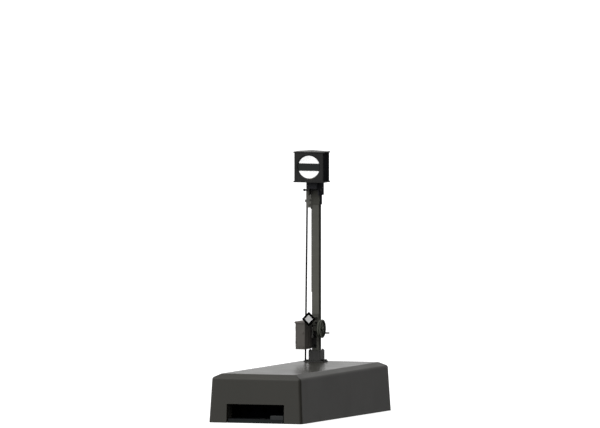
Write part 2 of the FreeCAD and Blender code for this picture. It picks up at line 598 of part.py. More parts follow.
def build_disc():
    """White disc with its black bar, on a shaft that carries the rod's crank behind the lantern."""
    front = LANTERN_FRONT + 0.35
    centre = point(0, front, DISC_HEIGHT)
    save_on_mast("disc", cylinder(centre, AXIS_Y, DISC_RADIUS, DISC_THICKNESS))
    round_bar = cylinder(centre - AXIS_Y * 0.08, AXIS_Y, DISC_RADIUS, 0.08)
    half_bar = BAR_HEIGHT / 2
    strip = block((-9, 9), (front - 1, front + 1), (DISC_HEIGHT - half_bar, DISC_HEIGHT + half_bar))
    save_on_mast("disc_bar", round_bar.common(strip))

    crank_front = LANTERN_BACK + 0.08
    crank_thickness = 0.36
    shaft_start = centre + AXIS_Y * DISC_THICKNESS
    shaft_end = crank_front + crank_thickness + 0.05
    save_on_mast("disc_shaft", cylinder(shaft_start, AXIS_Y, 0.5, shaft_end - shaft_start.y))
    pivot = point(0, crank_front, DISC_HEIGHT)
    tip = point(ROD_TOP.x, crank_front, ROD_TOP.z)
    lever = arm(pivot, tip, AXIS_Y, crank_thickness, 0.85, 0.5, 0.8)
    bore = cylinder(pivot - AXIS_Y, AXIS_Y, 0.52, 3)
    pin = cylinder(tip, AXIS_Y, 0.22, 1.5)
    save_on_mast("disc_crank", lever.cut(bore).fuse(pin).removeSplitter())


# ---- telephone box, sign and pulley on the mast ----

def build_phone_box():
    side_x = (PHONE_LEFT, PHONE_RIGHT)
    door = 0.35
    wall_top = PHONE_TOP - PHONE_LID
    body_front = PHONE_FRONT + door
    body = block(side_x, (body_front, PHONE_BACK), (PHONE_BOTTOM, wall_top))
    hollow = block((PHONE_LEFT + PHONE_SKIN, PHONE_RIGHT - PHONE_SKIN), (body_front, PHONE_BACK - PHONE_SKIN),
                   (PHONE_BOTTOM + 0.7, wall_top))
    body = body.cut(hollow)
    for rib_y in (-5.3, -3.2):
        body = body.fuse(centred(0.05, 0.2, (PHONE_BOTTOM + 0.8, wall_top), PHONE_RIGHT + 0.05, rib_y))
    plinth = block(side_x, (PHONE_FRONT, body_front), (PHONE_BOTTOM, PHONE_BOTTOM + 0.65))
    save_on_mast("phone_box", body.fuse(plinth).removeSplitter())
    leaf = block(side_x, (PHONE_FRONT, body_front), (PHONE_BOTTOM + 0.75, wall_top))
    handle = cylinder(point(PHONE_RIGHT - 0.6, PHONE_FRONT, 24.6), point(0, -1, 0), 0.22, 0.3)
    save_on_mast("phone_door", leaf.fuse(handle).removeSplitter())
    lid = block((PHONE_LEFT - 0.3, PHONE_RIGHT + 0.04), (PHONE_FRONT - 0.15, PHONE_BACK),
                (wall_top, PHONE_TOP))
    save_on_mast("phone_lid", soften(lid, 0.15, lambda edge: edge.BoundBox.ZMin > wall_top + 0.1
                                     and edge.BoundBox.YMax < PHONE_BACK - 0.01))
    save_on_mast("phone_bracket", block((PHONE_LEFT + 0.4, BRACKET_RIGHT), (PHONE_BACK, -MAST_DEPTH / 2),
                                        BRACKET_LEVELS))


def diamond(half_diagonal, depth_range):
    """A square plate standing on one corner, seen from the front."""
    low, high = depth_range
    corners = [point(SIGN_X + half_diagonal * x, low, SIGN_Z + half_diagonal * z)
               for x, z in ((0, -1), (1, 0), (0, 1), (-1, 0), (0, -1))]
    return Part.Face(Part.makePolygon(corners)).extrude(AXIS_Y * (high - low))


def build_sign():
    inner = SIGN_HALF_DIAGONAL - SIGN_FRAME * math.sqrt(2)
    plate_back = SIGN_Y + 0.3
    save_on_mast("sign_plate", diamond(inner - 0.02, (SIGN_Y + 0.04, plate_back)))
    ring = diamond(SIGN_HALF_DIAGONAL, (SIGN_Y, plate_back)).cut(diamond(inner, (SIGN_Y - 1, plate_back + 1)))
    save_on_mast("sign_frame", ring)
    face = -MAST_DEPTH / 2
    foot = block((-1.0, MAST_WIDTH / 2), (face - 0.3, face), (26.6, 30.2))
    foot = soften(foot, 0.3, lambda edge: edge.BoundBox.YLength > 0.2)
    reach = block((SIGN_X - 0.3, SIGN_X + 0.3), (plate_back + 0.25, face - 0.3),
                  (SIGN_Z - 0.35, SIGN_Z + 0.35))
    pad = centred(0.75, 0.125, (SIGN_Z - 0.75, SIGN_Z + 0.75), SIGN_X, plate_back + 0.125)
    save_on_mast("sign_bracket", foot.fuse([reach, pad]).removeSplitter())


def build_pulley():
    """Wire pulley, its lever and their shaft, which turns in a block on the mast's front."""
    centre = point(0, PULLEY_Y, PULLEY_Z)
    bearing = block((-0.3, MAST_WIDTH / 2), (PULLEY_Y - 0.65, PHONE_BACK),
                    (PULLEY_Z - 0.7, PULLEY_Z + 0.7))
    bore = cylinder(centre - AXIS_X * 2, AXIS_X, PULLEY_SHAFT_RADIUS + RUNNING_GAP, 6)
    save_on_mast("pulley_bearing", bearing.cut(bore))
    save_on_mast("pulley_shaft", cylinder(centre - AXIS_X * 0.95, AXIS_X, PULLEY_SHAFT_RADIUS, 4.1))

    rim_start = centre + AXIS_X * (PULLEY_X - PULLEY_WIDTH / 2)
    rim = tube(rim_start, AXIS_X, PULLEY_RADIUS, PULLEY_RADIUS - 0.5, PULLEY_WIDTH)
    groove_start = rim_start + AXIS_X * 0.27
    groove = tube(groove_start, AXIS_X, PULLEY_RADIUS + 0.1, PULLEY_RADIUS - 0.2, PULLEY_WIDTH - 0.54)
    wheel = rim.cut(groove).fuse(cylinder(rim_start - AXIS_X * 0.2, AXIS_X, 0.7, PULLEY_WIDTH + 0.4))
    web_start = centre + AXIS_X * (PULLEY_X - PULLEY_WEB / 2)
    wheel = wheel.fuse(cylinder(web_start, AXIS_X, PULLEY_RADIUS - 0.3, PULLEY_WEB))
    spoke_count = 5
    for step in range(spoke_count):
        spoke = block((PULLEY_X - 0.18, PULLEY_X + 0.18), (PULLEY_Y - 0.2, PULLEY_Y + 0.2),
                      (PULLEY_Z, PULLEY_Z + PULLEY_RADIUS - 0.3))
        spoke.rotate(centre, AXIS_X, step * 360 / spoke_count)
        wheel = wheel.fuse(spoke)
    wheel = wheel.cut(cylinder(centre, AXIS_X, PULLEY_SHAFT_RADIUS + 0.02, 6))
    save_on_mast("pulley_wheel", wheel.removeSplitter())
    pin_start = point(PULLEY_X + PULLEY_WIDTH / 2, PULLEY_Y + 1.85, PULLEY_Z - 1.4)
    lug = cylinder(pin_start, AXIS_X, 0.3, 0.2)
    pin = cylinder(pin_start, AXIS_X, 0.19, 1.45)
    knob = cylinder(pin_start + AXIS_X * 1.0, AXIS_X, 0.24, 0.5)
    save_on_mast("pulley_crank_pin", lug.fuse([pin, knob]).removeSplitter())

    pivot = centre - AXIS_X * 0.85
    tip = pivot - AXIS_Z * 2.6
    lever = arm(pivot, tip, AXIS_X, 0.45, 0.5, 0.5, 0.45)
    holes = [cylinder(pivot - AXIS_X, AXIS_X, PULLEY_SHAFT_RADIUS + 0.02, 3),
             cylinder(tip - AXIS_X, AXIS_X, 0.22, 3)]
    save_on_mast("pulley_lever", lever.cut(holes))


def main():
    os.makedirs("parts", exist_ok=True)
    build_housing()
    build_base_plate()
    build_terminals()
    build_solenoid()
    build_plunger()
    build_rocker()
    build_switch()
    build_signal_rod()
    build_mast()
    build_neck()
    build_rod_guide()
    build_mast_bolts()
    build_lantern()
    build_disc()
    build_phone_box()
    build_sign()
    build_pulley()
    print(f"rod stroke {ROD_STROKE:.4f}, plunger stroke {PLUNGER_STROKE:.4f}")
    print(f"rocker at y {ROCKER_Y:.4f} z {ROCKER_Z:.4f}, rod direction {tuple(ROD_DIRECTION)}")


main()
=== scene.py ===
import json
import math

import bmesh
import bpy
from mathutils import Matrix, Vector

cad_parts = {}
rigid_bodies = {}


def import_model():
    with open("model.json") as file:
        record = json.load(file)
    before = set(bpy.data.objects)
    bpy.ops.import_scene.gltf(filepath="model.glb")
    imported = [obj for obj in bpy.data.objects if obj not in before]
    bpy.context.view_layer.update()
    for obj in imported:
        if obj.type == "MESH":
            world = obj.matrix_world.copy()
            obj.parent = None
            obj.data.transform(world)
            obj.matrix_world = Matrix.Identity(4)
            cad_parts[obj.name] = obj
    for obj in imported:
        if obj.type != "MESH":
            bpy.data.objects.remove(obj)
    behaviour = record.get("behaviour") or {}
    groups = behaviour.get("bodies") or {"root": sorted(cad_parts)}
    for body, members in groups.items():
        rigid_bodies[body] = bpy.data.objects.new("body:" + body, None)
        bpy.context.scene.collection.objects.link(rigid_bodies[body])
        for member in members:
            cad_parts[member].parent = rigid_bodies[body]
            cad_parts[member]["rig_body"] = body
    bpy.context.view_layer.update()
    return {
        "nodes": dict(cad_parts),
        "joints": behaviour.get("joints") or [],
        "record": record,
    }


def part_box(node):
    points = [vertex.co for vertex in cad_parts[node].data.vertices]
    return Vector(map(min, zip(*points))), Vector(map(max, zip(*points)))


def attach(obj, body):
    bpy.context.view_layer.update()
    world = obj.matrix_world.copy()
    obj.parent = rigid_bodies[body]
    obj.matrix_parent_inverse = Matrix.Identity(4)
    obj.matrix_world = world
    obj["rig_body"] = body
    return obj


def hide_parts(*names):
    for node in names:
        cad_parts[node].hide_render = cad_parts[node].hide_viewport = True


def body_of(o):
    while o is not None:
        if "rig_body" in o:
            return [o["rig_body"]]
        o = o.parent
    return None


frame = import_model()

MM = 0.001

# The viewing direction, and what the parallel view takes in
CAMERA_AZIMUTH = math.radians(20.6)
CAMERA_ELEVATION = math.radians(3.4)
VIEW_WIDTH = 0.1869
AIM_ABOVE_CORNER = 0.06556
AIM_LEFT_OF_CORNER = 0.0005
CAMERA_DISTANCE = 0.6

FLOOR_HALF_SIZE = 4.0


# ---- small helpers ----

def corners(node):
    """The low and the high corner of a CAD node's box."""
    low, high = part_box(node)
    return Vector(low), Vector(high)


def middle(node):
    """The middle of a CAD node's box, and the box's size."""
    low, high = corners(node)
    return (low + high) / 2, high - low


def link(obj):
    """Puts an object into the scene."""
    bpy.context.scene.collection.objects.link(obj)
    return obj


def body_of_node(node):
    """The body that a CAD node belongs to."""
    return body_of(frame["nodes"][node])[0]


def slot_of_node(node):
    """The material slot of a CAD node."""
    for row in frame["record"]["subparts"]:
        if row["node"] == node:
            return row["material_slot"]
    return None


# ---- materials ----

# how wide the blotches, specks and patches in a paint are, and how deep its grain is
BLOTCH_MM = 3.5
SPECK_MM = 0.3
DUST_AND_SHEEN_PATCH_MM = 1.4
WORN_PATCH_MM = 0.8
GLOSS_PATCH_MM = 1.8
GRIME_PATCH_MM = 1.6
STREAK_MM = 0.25
FLOW_MARK_MM = 14.0
WIRE_BAND_MM = 0.45
GRAIN_DEPTH_MM = 0.004
DUST_AND_SHEEN_COLOUR = (0.30, 0.29, 0.26)
HOUSING_GREY = (0.0345, 0.0330, 0.0270)


class Paint:
    """A node material around one Principled shader, with short ways to add the nodes used here."""

    def __init__(self, name, roughness=0.5, metallic=0.0):
        self.material = bpy.data.materials.new(name)
        self.material.use_nodes = True
        self.tree = self.material.node_tree
        self.shader = self.tree.nodes["Principled BSDF"]
        self.set("Roughness", roughness)
        self.set("Metallic", metallic)
        self.place = self.add("ShaderNodeTexCoord").outputs["Object"]

    def add(self, kind, **settings):
        node = self.tree.nodes.new(kind)
        for key, value in settings.items():
            setattr(node, key, value)
        return node

    def join(self, source, target):
        self.tree.links.new(source, target)

    def set(self, socket, value):
        self.shader.inputs[socket].default_value = value

    def feed(self, socket, source):
        self.join(source, self.shader.inputs[socket])

    def noise(self, size_mm, detail=3.0, stretch=(1, 1, 1)):
        """Noise whose blotches are about size_mm across."""
        mapping = self.add("ShaderNodeMapping")
        mapping.inputs["Scale"].default_value = [1 / MM / size_mm * factor for factor in stretch]
        self.join(self.place, mapping.inputs["Vector"])
        texture = self.add("ShaderNodeTexNoise")
        texture.inputs["Scale"].default_value = 1.0
        texture.inputs["Detail"].default_value = detail
        self.join(mapping.outputs["Vector"], texture.inputs["Vector"])
        return texture.outputs["Fac"]

    def span(self, source, low, high, from_low=0.3, from_high=0.7):
        """source, spread from its own range to low..high."""
        node = self.add("ShaderNodeMapRange")
        node.inputs["From Min"].default_value = from_low
        node.inputs["From Max"].default_value = from_high
        node.inputs["To Min"].default_value = low
        node.inputs["To Max"].default_value = high
        self.join(source, node.inputs["Value"])
        return node.outputs["Result"]

    def product(self, first, second):
        node = self.add("ShaderNodeMath", operation="MULTIPLY")
        self.join(first, node.inputs[0])
        self.join(second, node.inputs[1])
        return node.outputs["Value"]

    def blend(self, factor, first, second):
        """Mixes two colours, each a tuple or another node's output."""
        node = self.add("ShaderNodeMix", data_type="RGBA")
        self.join(factor, node.inputs["Factor"])
        for name, value in (("A", first), ("B", second)):
            socket = [s for s in node.inputs if s.name == name and s.type == "RGBA"][0]
            if isinstance(value, tuple):
                socket.default_value = (*value, 1.0)
            else:
                self.join(value, socket)
        return [s for s in node.outputs if s.type == "RGBA"][0]

    def bump(self, source, depth_mm, strength=1.0):
        node = self.add("ShaderNodeBump")
        node.inputs["Strength"].default_value = strength
        node.inputs["Distance"].default_value = depth_mm * MM
        self.join(source, node.inputs["Height"])
        self.feed("Normal", node.outputs["Normal"])

    def edge_mask(self, radius_mm):
        """1 along sharp edges and 0 on flat faces."""
        rounded = self.add("ShaderNodeBevel", samples=4)
        rounded.inputs["Radius"].default_value = radius_mm * MM
        true = self.add("ShaderNodeNewGeometry")
        dot = self.add("ShaderNodeVectorMath", operation="DOT_PRODUCT")
        self.join(rounded.outputs["Normal"], dot.inputs[0])
        self.join(true.outputs["Normal"], dot.inputs[1])
        return self.span(dot.outputs["Value"], 1.0, 0.0, 0.75, 0.99)

    def upward(self):
        """1 on faces that look straight up, 0 on walls."""
        geometry = self.add("ShaderNodeNewGeometry")
        split = self.add("ShaderNodeSeparateXYZ")
        self.join(geometry.outputs["Normal"], split.inputs["Vector"])
        return self.span(split.outputs["Z"], 0.0, 1.0, 0.5, 1.0)


def shade(colour, factor):
    return tuple(channel * factor for channel in colour)


def painted(name, colour, roughness=0.45, variation=0.10, grain_mm=0.12, dust_and_sheen=0.0,
            wear=None, wear_radius=0.08, specular=0.5):
    """Paint or moulded plastic: blotches, fine grain, rubbed edges, and on upward faces a paler tone that is
    partly a real dusting and partly the painted sheen of the sky.
    """
    paint = Paint(name, roughness)
    paint.set("Specular IOR Level", specular)
    blotches = paint.span(paint.noise(BLOTCH_MM, 4), 0, 1)
    specks = paint.span(paint.noise(SPECK_MM, 2), 0, 0.35)
    tone = paint.blend(blotches, shade(colour, 1 - variation), shade(colour, 1 + variation))
    tone = paint.blend(specks, tone, shade(colour, 1 + 2 * variation))
    if dust_and_sheen:
        # paler on upward faces: partly a real dusting, partly painted sheen from the sky
        dust_and_sheen_patches = paint.span(paint.noise(DUST_AND_SHEEN_PATCH_MM, 5), 0.3 * dust_and_sheen, dust_and_sheen)
        tone = paint.blend(paint.product(paint.upward(), dust_and_sheen_patches), tone, DUST_AND_SHEEN_COLOUR)
    if wear:
        patches = paint.span(paint.noise(WORN_PATCH_MM, 4), 0.0, 0.75, 0.42, 0.62)
        tone = paint.blend(paint.product(paint.edge_mask(wear_radius), patches), tone, wear)
    paint.feed("Base Color", tone)
    gloss = paint.noise(GLOSS_PATCH_MM, 4)
    paint.feed("Roughness", paint.span(gloss, roughness * 0.85, min(1.0, roughness * 1.2)))
    paint.bump(paint.noise(grain_mm, 3), GRAIN_DEPTH_MM)
    return paint.material


def metal(name, colour, roughness=0.3, stretch=(1, 1, 1), tarnish=(0.12, 0.10, 0.08), tarnished=0.25):
    """Bare metal with brushed streaks and dull patches."""
    paint = Paint(name, roughness, 1.0)
    streaks = paint.noise(STREAK_MM, 4, stretch)
    patches = paint.span(paint.noise(GRIME_PATCH_MM, 5), 0.0, tarnished, 0.4, 0.65)
    tone = paint.blend(paint.span(streaks, 0, 1), shade(colour, 0.85), shade(colour, 1.1))
    paint.feed("Base Color", paint.blend(patches, tone, tarnish))
    paint.feed("Roughness", paint.span(streaks, roughness * 0.7, min(1.0, roughness * 1.5)))
    paint.bump(streaks, GRAIN_DEPTH_MM, 0.6)
    return paint.material


def housing_plastic():
    """Grey moulded plastic: even in tone, with broad faint flow marks and slightly uneven gloss."""
    paint = Paint("housing_plastic", 0.3)
    paint.set("Specular IOR Level", 0.3)
    flow = paint.span(paint.noise(FLOW_MARK_MM, 3, (1, 0.5, 1)), 0, 1)
    paint.feed("Base Color", paint.blend(flow, shade(HOUSING_GREY, 0.97), shade(HOUSING_GREY, 1.03)))
    paint.feed("Roughness", paint.span(paint.noise(9.0, 4), 0.30, 0.35))
    return paint.material


def copper_winding():
    """Enamelled wire: fine turns side by side along the coil's axis."""
    paint = Paint("copper_winding", 0.32, 1.0)
    turns = paint.add("ShaderNodeTexWave", wave_type="BANDS", bands_direction="Y")
    turns.inputs["Scale"].default_value = 1 / MM / WIRE_BAND_MM
    turns.inputs["Distortion"].default_value = 0.6
    paint.join(paint.place, turns.inputs["Vector"])
    tone = paint.blend(turns.outputs["Fac"], (0.20, 0.06, 0.025), (0.72, 0.30, 0.12))
    paint.feed("Base Color", paint.blend(paint.span(paint.noise(2.5), 0, 0.4), tone, (0.45, 0.18, 0.08)))
    paint.bump(turns.outputs["Fac"], 0.06, 0.8)
    return paint.material


def enamel(name, colour, glow=0.0):
    """Smooth lacquer with a trace of orange peel and faint grime; glow gives the white enamel a faint
    emission, painted light that brightens it although it is no lamp.
    """
    paint = Paint(name, 0.3)
    paint.set("Emission Color", (1, 1, 1, 1))
    paint.set("Emission Strength", glow)
    paint.set("Coat Weight", 0.15)
    paint.set("Coat Roughness", 0.2)
    grime = paint.span(paint.noise(GRIME_PATCH_MM, 5), 0.0, 0.18, 0.45, 0.75)
    paint.feed("Base Color", paint.blend(grime, colour, shade(colour, 0.86)))
    paint.bump(paint.noise(0.5, 2), 0.003, 0.4)
    return paint.material


def clear_glass():
    """Thin blown glass, slightly uneven."""
    paint = Paint("clear_glass", 0.05)
    paint.set("Base Color", (0.95, 0.94, 0.88, 1))
    paint.set("Transmission Weight", 1.0)
    paint.bump(paint.noise(0.6, 1), 0.01, 0.3)
    return paint.material


RUBBED = (0.14, 0.14, 0.13)
MATERIALS = {
    "housing": housing_plastic(),
    "plate": painted("dark_steel_plate", (0.0115, 0.0135, 0.0150), 0.5, specular=0.15,
                     wear=(0.05, 0.055, 0.06)),
    "screws": metal("zinc_screws", (0.55, 0.55, 0.53), 0.35),
    "dark_bolts": painted("blackened_bolts", (0.006, 0.006, 0.006), 0.5, specular=0.05,
                          wear=(0.03, 0.03, 0.03)),
    "insulation": painted("phenolic_board", (0.10, 0.055, 0.025), 0.4, variation=0.2, grain_mm=0.4),
    "copper": copper_winding(),
    "iron": metal("soft_iron", (0.38, 0.37, 0.36), 0.45, (1, 0.15, 1), (0.14, 0.08, 0.05), 0.35),
    "brass": metal("plain_brass", (0.70, 0.50, 0.20), 0.3, (0.3, 1, 1), (0.22, 0.13, 0.05)),
    "black_plastic": painted("black_plastic", (0.006, 0.006, 0.007), 0.5, specular=0.2),
    "mast_paint": painted("mast_paint", (0.123, 0.123, 0.109), 0.6, variation=0.06, specular=0.0,
                          wear=RUBBED),
    "socket_paint": painted("socket_paint", (0.026, 0.0255, 0.024), 0.35, variation=0.08, specular=0.4,
                            wear=(0.06, 0.06, 0.055)),
    "rod_steel": painted("rod_paint", (0.045, 0.044, 0.042), 0.6, variation=0.08, specular=0.0),
    # the drive wire, near black and far darker than the rod: painted shade for the rod's darker lower part
    # near the base
    "black_wire": painted("black_wire", (0.008, 0.008, 0.008), 0.55, specular=0.0),
    "lantern_black": painted("lantern_black", (0.0305, 0.0305, 0.0302), 0.5, variation=0.12, specular=0.08,
                             wear=(0.045, 0.045, 0.043)),
    # the roof is paler on its upward faces: partly a dusting, partly painted sheen of the sky on it
    "roof_grey": painted("roof_grey", (0.035, 0.035, 0.035), 0.4, variation=0.12, specular=0.3, dust_and_sheen=0.3),
    # the disc's white glows: painted light that makes the disc brighter than the lamps alone make it
    "disc_white": enamel("white_enamel_painted_glow", (0.95, 0.95, 0.94), glow=0.4),
    "disc_black": painted("black_enamel", (0.027, 0.030, 0.029), 0.5, variation=0.06, specular=0.1),
    "linkage": metal("bare_steel", (0.42, 0.42, 0.41), 0.35),
    "bulb_glass": clear_glass(),
    "box_paint": painted("box_paint", (0.122, 0.114, 0.105), 0.6, variation=0.06, specular=0.05, wear=RUBBED),
    "fitting_grey": painted("fitting_paint", (0.075, 0.075, 0.065), 0.55, variation=0.12, specular=0.05,
                            wear=RUBBED),
}
# paints of nodes, or of some faces of a node, that differ from the rest of their slot
SPECIAL = {
    "neck_bracket": painted("neck_black", (0.042, 0.042, 0.047), 0.5, variation=0.12, specular=0.0),
    # strap and left cheek under the neck: darker than the mast and greyer than the neck's black, painted
    # shade for the lantern's shade on the mast's top and painted light for the shaded cheek
    "strap": painted("strap_painted_shade_and_light", (0.078, 0.078, 0.068), 0.55, variation=0.10, specular=0.0, wear=RUBBED),
    # lantern sides: darker than the lantern's black front, painted shade for the faces turned away from the
    # key light
    "lantern_housing": painted("lantern_side_painted_shade", (0.021, 0.022, 0.024), 0.5, variation=0.12, specular=0.0),
    "sign_plate": enamel("sign_white", (0.62, 0.62, 0.62)),
    "sign_frame": painted("sign_black", (0.002, 0.002, 0.002), 0.6, specular=0.0),
    # the pulley's paint for faces turned to +X; with the darker copy below it, light and shade are painted by
    # the way a face turns
    "pulley_wheel": painted("wheel_paint", (0.125, 0.130, 0.108), 0.5, variation=0.8, grain_mm=0.3,
                            specular=0.1, wear=(0.30, 0.30, 0.25), wear_radius=0.15),
    # darker copy of the wheel's paint for faces not turned to +X: painted shade
    "wheel_shaded_copy": painted("wheel_painted_shade", (0.030, 0.031, 0.026), 0.5, variation=0.5, grain_mm=0.3, specular=0.05,
                         wear=(0.10, 0.10, 0.08), wear_radius=0.1),
    # the lid, lighter than the box: painted light for the light falling on it from above
    "phone_lid": painted("lid_painted_light", (0.150, 0.136, 0.128), 0.6, variation=0.06, specular=0.05, wear=RUBBED),
    "pulley_lever": painted("lever_paint", (0.125, 0.123, 0.115), 0.55, variation=0.10, specular=0.1),
    # the terminal block, blacker than black plastic: painted shade for the dark inside of the base's mouth
    "terminal_block": painted("mouth_black_painted_shade", (0.0015, 0.0017, 0.0030), 0.6, specular=0.0),
    # the latch block, lighter than the rest of the plate: painted light that makes up for the little light
    # reaching it
    "latch": painted("latch_painted_light", (0.032, 0.035, 0.036), 0.5, variation=0.06, specular=0.15),
    "pulley_crank_pin": painted("dull_steel", (0.045, 0.044, 0.042), 0.5, variation=0.15, specular=0.0),
    # the rod guide, painted lighter to make up for the lantern's shade on it: painted light
    "rod_guide": painted("guide_painted_light", (0.155, 0.153, 0.139), 0.6, variation=0.08, specular=0.0,
                         wear=RUBBED),
    "phone_bracket": painted("bracket_black", (0.026, 0.026, 0.025), 0.5, variation=0.15, specular=0.05),
    "dark_steel": painted("dark_steel", (0.030, 0.030, 0.030), 0.45, variation=0.15, specular=0.2),
    "filament": metal("tungsten", (0.3, 0.3, 0.3), 0.4),
}
# the lantern's back takes the sides' painted shade too
SPECIAL["lantern_back"] = SPECIAL["lantern_housing"]
SPECIAL["pulley_shaft"] = SPECIAL["clamp_bolt"] = SPECIAL["dark_steel"]
# the terminal screws deep in the mouth take dark steel instead of zinc: painted shade
SPECIAL["terminal_screws"] = SPECIAL["dark_steel"]


def second_paint(piece, paint, faces):
    """Gives some faces of a piece a second paint."""
    piece.data.materials.append(paint)
    for face in faces:
        face.material_index = 1


def strap_faces(faces):
    """The strap and the left cheek, below the neck, which get the strap's painted shade and light."""
    neck_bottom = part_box("rod_guide")[1][2] + 0.2 * MM
    mast_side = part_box("mast")[1][0] + 0.1 * MM
    return [face for face in faces if face.center.z < neck_bottom and face.center.x < mast_side]


def latch_faces(faces):
    """The latch block at the mouth end of the base plate, which gets the lighter latch paint, painted light.
    """
    plate_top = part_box("terminal_block")[0][2] + 0.05 * MM
    latch_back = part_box("base_plate")[0][1] + 2.5 * MM
    return [face for face in faces if face.center.z > plate_top and face.center.y < latch_back]


def fascia_faces(faces):
    """The steep faces round the roof."""
    return [face for face in faces if abs(face.normal.z) < 0.5]


def upper_bolt_faces(faces):
    """The bolts high on the mast's front, which are painted with the mast."""
    bolts_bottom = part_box("rod_guide")[0][2] + 1.1 * MM
    front = middle("mast")[0].y - 1.0 * MM
    return [face for face in faces if face.center.z > bolts_bottom and face.center.y < front]


SECOND_PAINTS = {
    "neck_bracket": (strap_faces, SPECIAL["strap"]),
    "base_plate": (latch_faces, SPECIAL["latch"]),
    "lantern_roof": (fascia_faces, MATERIALS["lantern_black"]),
    "mast_bolts": (upper_bolt_faces, MATERIALS["mast_paint"]),
}


def finish_piece(piece, node):
    """Gives a piece a node's paint and body, and hides the node so that the piece shows in its place."""
    dress(piece, node)
    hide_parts(node)
    return piece


def dress(piece, node):
    """Gives a piece the paint and body of a node, with the paint chosen by the node's slot, without hiding
    the node.
    """
    slot = slot_of_node(node)
    piece.data.materials.clear()
    piece.data.materials.append(SPECIAL.get(node) or MATERIALS[slot])
    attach(piece, body_of_node(node))


# ---- CAD pieces with softened edges ----

SHARP_ANGLE = math.radians(36)
EDGE_RADIUS_MM = {
    "base_plate": 0.12, "mast": 0.05, "mast_foot": 0.1, "lantern_roof": 0.06, "lantern_floor": 0.06,
    "lantern_housing": 0.05, "lantern_back": 0.08, "neck_bracket": 0.06, "phone_box": 0.05,
    "phone_door": 0.08, "phone_lid": 0.05, "sign_bracket": 0.06, "solenoid_yoke": 0.12, "coil_bobbins": 0.12,
    "terminal_block": 0.15, "driver_head": 0.12, "rocker_bracket": 0.1, "switch_board": 0.06,
    "pulley_bearing": 0.1, "mast_socket": 0.08, "sign_frame": 0.04, "sign_plate": 0.04,
}
DEFAULT_EDGE_MM = 0.04
EDGE_SEGMENTS = 2
WELD_DISTANCE = 1e-7
FLAT_ANGLE = math.radians(0.1)


def soften_edges(piece, width_mm):
    """Rounds a piece's sharp edges and evens out the normals of its flat faces."""
    piece.data.shade_smooth()
    piece.data.set_sharp_from_angle(angle=SHARP_ANGLE)
    bevel = piece.modifiers.new("edges", "BEVEL")
    bevel.width = width_mm * MM
    bevel.segments = EDGE_SEGMENTS
    bevel.limit_method = "ANGLE"
    bevel.angle_limit = SHARP_ANGLE
    bevel.use_clamp_overlap = True
    normals = piece.modifiers.new("normals", "WEIGHTED_NORMAL")
    normals.keep_sharp = True
    normals.weight = 100
    return piece


def softened(node):
    """Makes a copy of a CAD node with its sharp edges rounded over."""
    mesh = frame["nodes"][node].data.copy()
    work = bmesh.new()
    work.from_mesh(mesh)
    bmesh.ops.remove_doubles(work, verts=work.verts, dist=WELD_DISTANCE)
    bmesh.ops.dissolve_limit(work, angle_limit=FLAT_ANGLE, verts=work.verts, edges=work.edges)
    work.to_mesh(mesh)
    work.free()
    piece = link(bpy.data.objects.new(f"{node}_soft", mesh))
    soften_edges(piece, EDGE_RADIUS_MM.get(node, DEFAULT_EDGE_MM))
    finish_piece(piece, node)
    if node in SECOND_PAINTS:
        pick, paint = SECOND_PAINTS[node]
        second_paint(piece, paint, pick(piece.data.polygons))


# ---- shapes built in mesh code ----

CHAMFER_SHARE = 0.2
CHAMFER_BULGE = 0.3


def to_object(name, work, edge_mm=None):
    """Makes a piece of a bmesh, with its edges softened where edge_mm is given."""
    bmesh.ops.recalc_face_normals(work, faces=work.faces)
    mesh = bpy.data.meshes.new(name)
    work.to_mesh(mesh)
    work.free()
    piece = link(bpy.data.objects.new(name, mesh))
    if edge_mm:
        return soften_edges(piece, edge_mm)
    mesh.shade_smooth()
    mesh.set_sharp_from_angle(angle=SHARP_ANGLE)
    return piece


def turn(work, start, axis, profile_mm, segments=48, ring=False):
    """Adds a turned shape: profile_mm holds (distance along the axis, radius), and a ring closes up."""
    axis = Vector(axis).normalized()
    side = axis.orthogonal().normalized()
    other = axis.cross(side)
    rings = []
    for along, radius in profile_mm:
        centre = start + axis * along * MM
        if radius < 1e-6:
            rings.append([work.verts.new(centre)])
            continue
        circle = []
        for step in range(segments):
            angle = 2 * math.pi * step / segments
            offset = side * math.cos(angle) + other * math.sin(angle)
            circle.append(work.verts.new(centre + offset * radius * MM))
        rings.append(circle)
    pairs = list(zip(rings, rings[1:]))
    if ring:
        pairs.append((rings[-1], rings[0]))
    for first, second in pairs:
        for step in range(segments):
            after = (step + 1) % segments
            corners_round = [first[step % len(first)], first[after % len(first)],
                             second[after % len(second)], second[step % len(second)]]
            corners_round = list(dict.fromkeys(corners_round))
            if len(corners_round) > 2:
                work.faces.new(corners_round)


def turned(node, axis_index, profile_mm, segments=40, ring=False, centre=None):
    """A turned piece that stands for a node, drawn from the low end of the node's box."""
    start = middle(node)[0] if centre is None else centre.copy()
    start[axis_index] = corners(node)[0][axis_index]
    axis = Vector((0, 0, 0))
    axis[axis_index] = 1
    work = bmesh.new()
    turn(work, start, axis, profile_mm, segments, ring)
    return finish_piece(to_object(f"{node}_turned", work), node)


def bar_profile(length, radius):
    """The outline of a plain turned bar with broken edges."""
    cut = radius * CHAMFER_SHARE
    bulge = cut * CHAMFER_BULGE
    return [(0, 0), (0, radius - cut), (bulge, radius - bulge), (cut, radius),
            (length - cut, radius), (length - bulge, radius - bulge), (length, radius - cut), (length, 0)]


def axis_bar(node, axis_index):
    """A turned bar that fills the box of a straight round node."""
    low, high = corners(node)
    size = (high - low) / MM
    radius = min(size[(axis_index + 1) % 3], size[(axis_index + 2) % 3]) / 2
    turned(node, axis_index, bar_profile(size[axis_index], radius))


